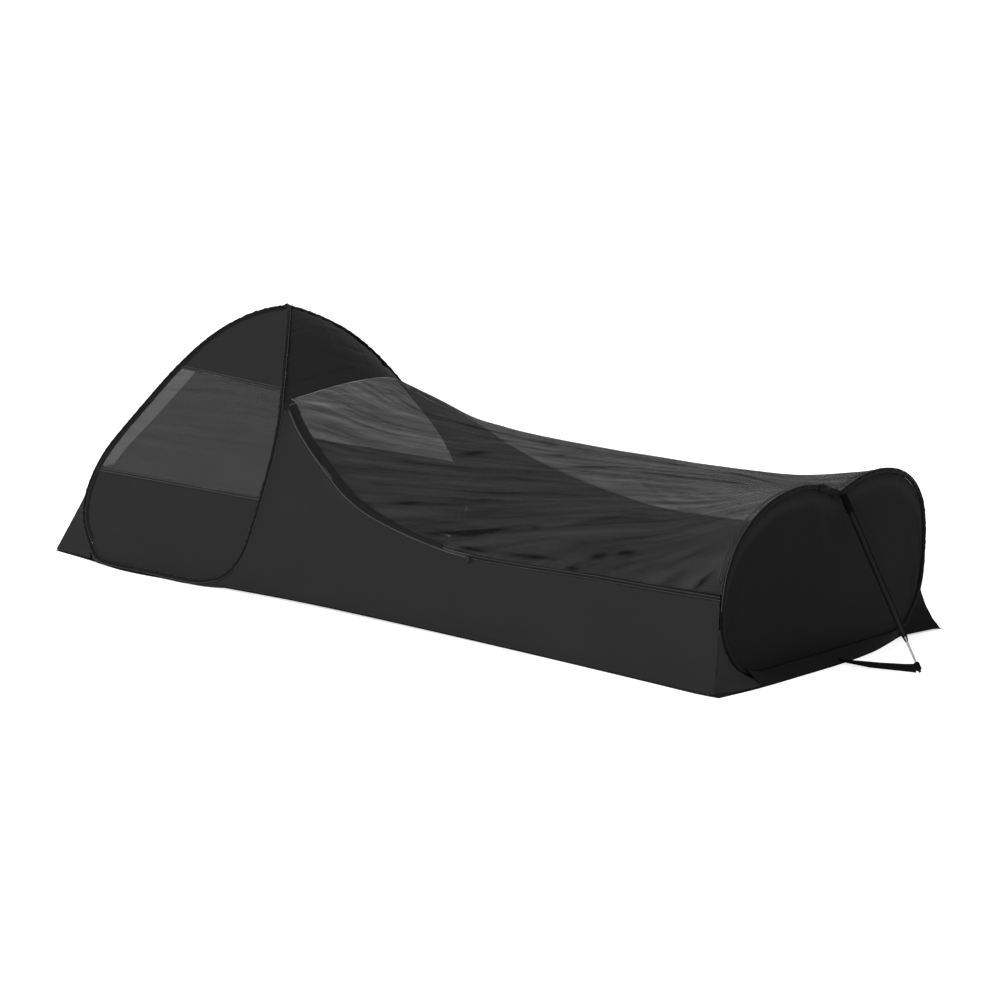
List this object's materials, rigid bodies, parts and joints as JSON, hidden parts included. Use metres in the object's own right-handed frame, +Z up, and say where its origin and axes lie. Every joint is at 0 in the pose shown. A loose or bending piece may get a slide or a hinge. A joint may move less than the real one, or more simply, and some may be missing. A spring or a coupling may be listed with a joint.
{
  "type": "backpacking tent",
  "caption": "Low black pop-up bivy tent for one sleeper, with a hooped head end, see-through mesh canopy, solid walls and a strutted foot ring.",
  "frame": {"origin": "on the ground under the groundsheet, on the tent's middle line, halfway between its head and foot ends", "axes": "+X from head to foot along the sleeper, +Y across to the far side, +Z up"},
  "size_m": [2.4207, 0.8974, 0.6467],
  "materials": {
    "groundsheet": "matte coated cloth",
    "wall_cloth": "matte woven cloth",
    "foot_cloth": "matte woven cloth",
    "roof_cloth": "matte woven cloth",
    "mesh": "fine see-through netting",
    "trim": "matte tape and webbing",
    "zip": "satin coil",
    "pole_metal": "satin",
    "plastic": "satin"
  },
  "bodies": {
    "root": {"groundsheet": "groundsheet", "head_hoop_near": "trim", "head_hoop_far": "trim", "head_side_lower_near": "wall_cloth", "head_side_window_near": "mesh", "head_side_upper_near": "wall_cloth", "head_side_lower_far": "wall_cloth", "head_side_window_far": "mesh", "head_side_upper_far": "wall_cloth", "head_wall_lower": "wall_cloth", "head_wall_window": "mesh", "head_wall_upper": "wall_cloth", "head_wall_flap": "wall_cloth", "head_gusset_near": "wall_cloth", "head_gusset_far": "wall_cloth", "side_wall_near": "wall_cloth", "side_wall_far": "wall_cloth", "roof_panel": "roof_cloth", "roof_hem": "trim", "mesh_canopy": "mesh", "zip": "zip", "far_wall_binding": "trim", "zip_flap": "trim", "zip_slider": "plastic", "foot_ring": "trim", "foot_wall": "foot_cloth", "foot_gusset_near": "foot_cloth", "foot_gusset_far": "foot_cloth", "foot_tie": "trim", "apex_cap": "trim", "strut_pocket": "trim", "strut_pole": "pole_metal", "strut_sleeve": "trim", "strut_tip": "plastic", "strut_strap": "trim"}
  },
  "joints": []
}
